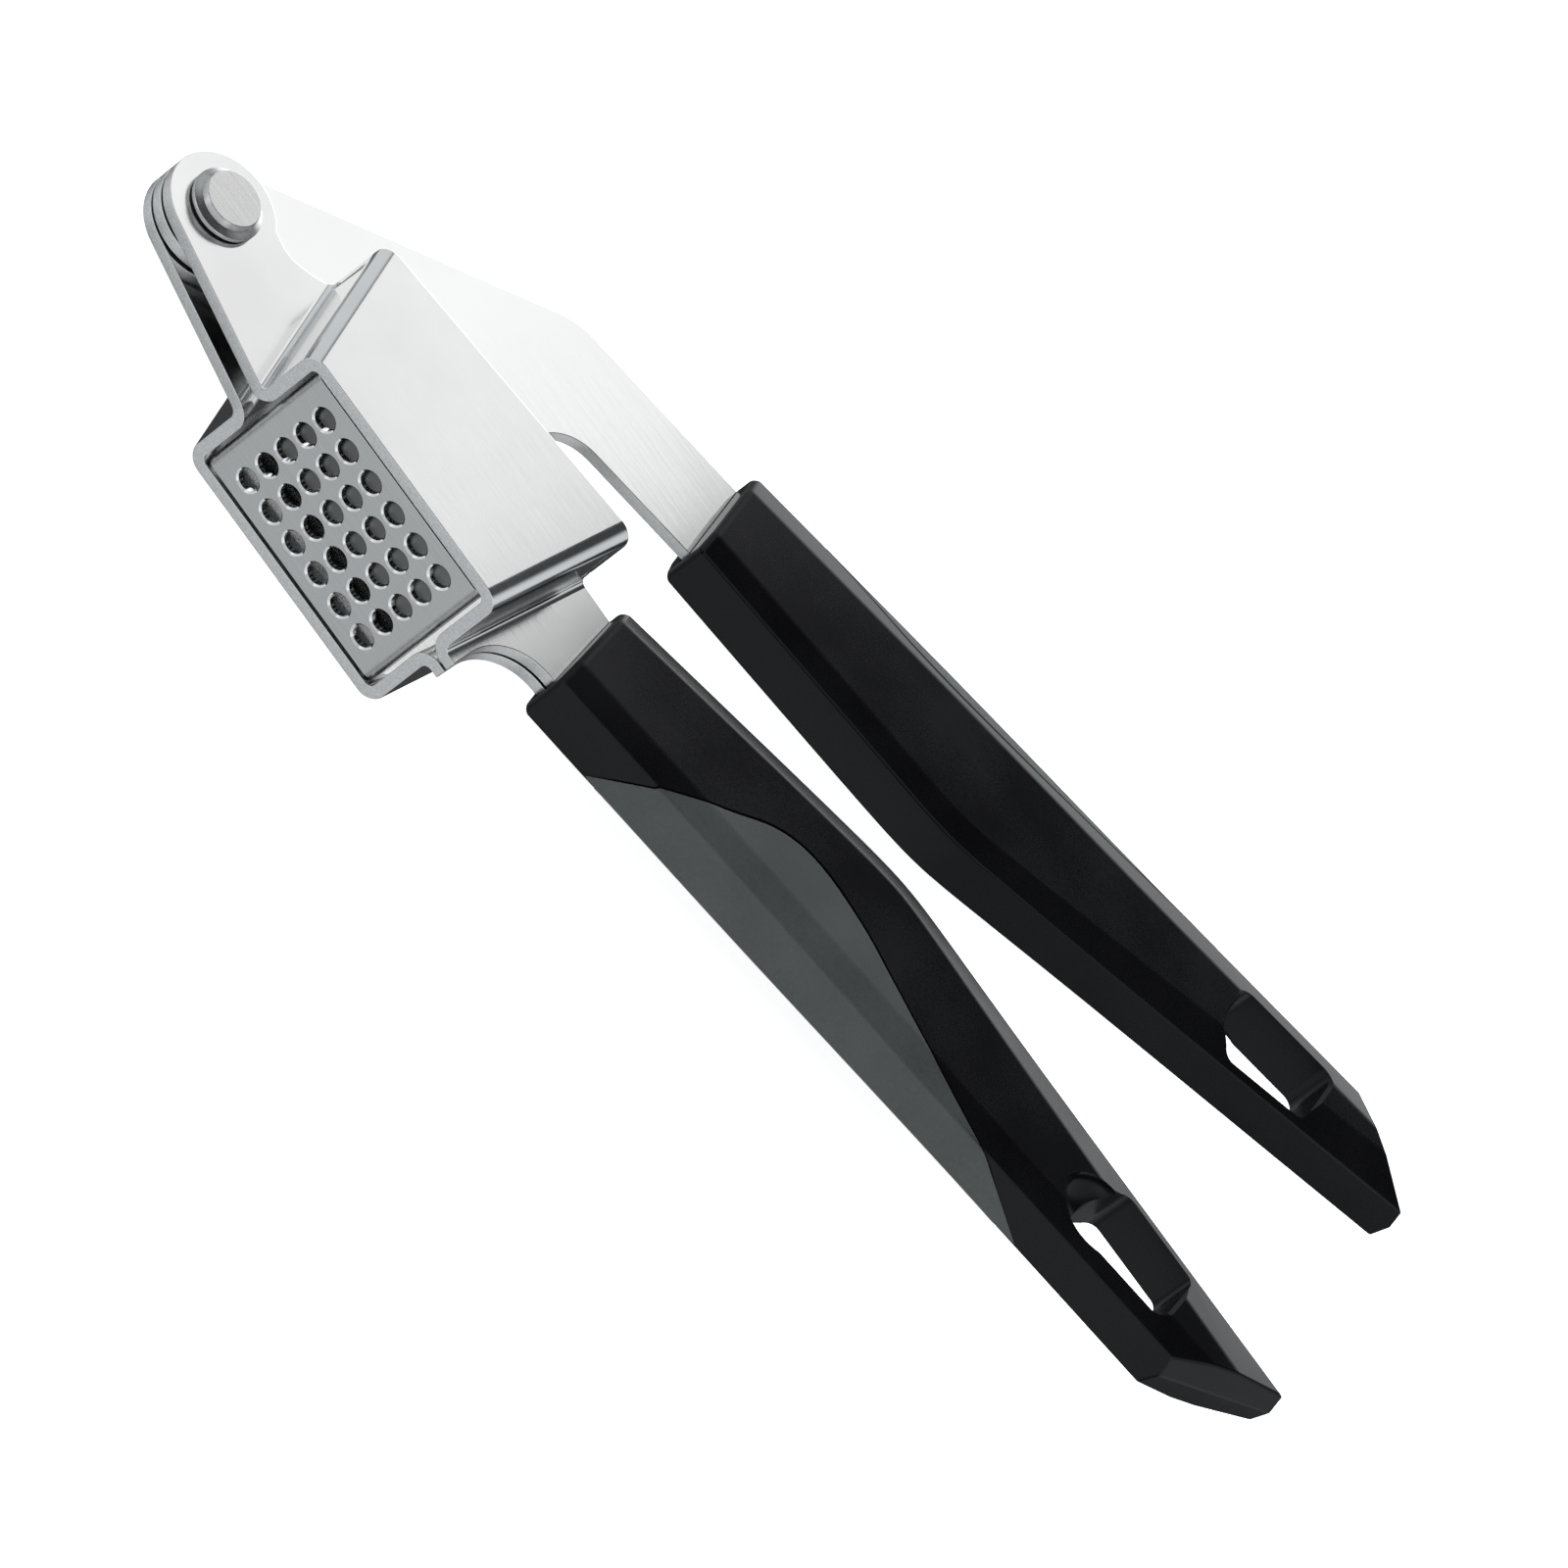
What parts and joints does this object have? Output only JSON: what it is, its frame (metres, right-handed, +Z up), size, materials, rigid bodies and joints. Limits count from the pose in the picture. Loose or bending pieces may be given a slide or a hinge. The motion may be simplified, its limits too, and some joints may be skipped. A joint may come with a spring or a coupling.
{
  "type": "garlic press",
  "caption": "Hinged garlic press: folded steel hopper with a perforated insert, lever arm driving a hinged plunger plate, and slim moulded handles with soft leaf pads and hanging slots.",
  "frame": {"origin": "centre of the bounding box's lower face, the press lying on its far side wall", "axes": "+X from the pivot towards the handle ends, +Y the way the upper handle opens away from the sieve, +Z up along the pivot axis, out of the near side wall"},
  "size_m": [0.1794, 0.0744, 0.0248],
  "materials": {
    "polished_steel": "polished stainless steel",
    "brushed_steel": "satin stainless steel",
    "black_plastic": "semi-gloss moulded",
    "grey_rubber": "matte soft-touch"
  },
  "bodies": {
    "frame": {"frame_plate_near": "polished_steel", "frame_plate_far": "polished_steel", "sieve_plate": "brushed_steel", "pivot_rivet": "brushed_steel", "lower_handle": "black_plastic", "lower_grip_pad": "grey_rubber"},
    "lever": {"lever_arm": "polished_steel", "upper_handle": "black_plastic", "upper_grip_pad": "grey_rubber"},
    "plunger": {"pressing_plate": "polished_steel", "hinge_bracket": "polished_steel", "plunger_pin": "brushed_steel"}
  },
  "joints": [
    {"name": "lever_hinge", "type": "hinge", "parent": "frame", "child": "lever", "pos_m": [-0.08271, -0.0253, 0.0124], "axis": [0, 0, 1], "range_deg": [-5, 90]},
    {"name": "plunger_hinge", "type": "hinge", "parent": "lever", "child": "plunger", "pos_m": [-0.04678, -0.02457, 0.0124], "axis": [0, 0, 1], "range_deg": [-90, 5]}
  ],
  "couplings": [
    {"joint": "plunger_hinge", "follows": "lever_hinge", "ratio": -1}
  ]
}
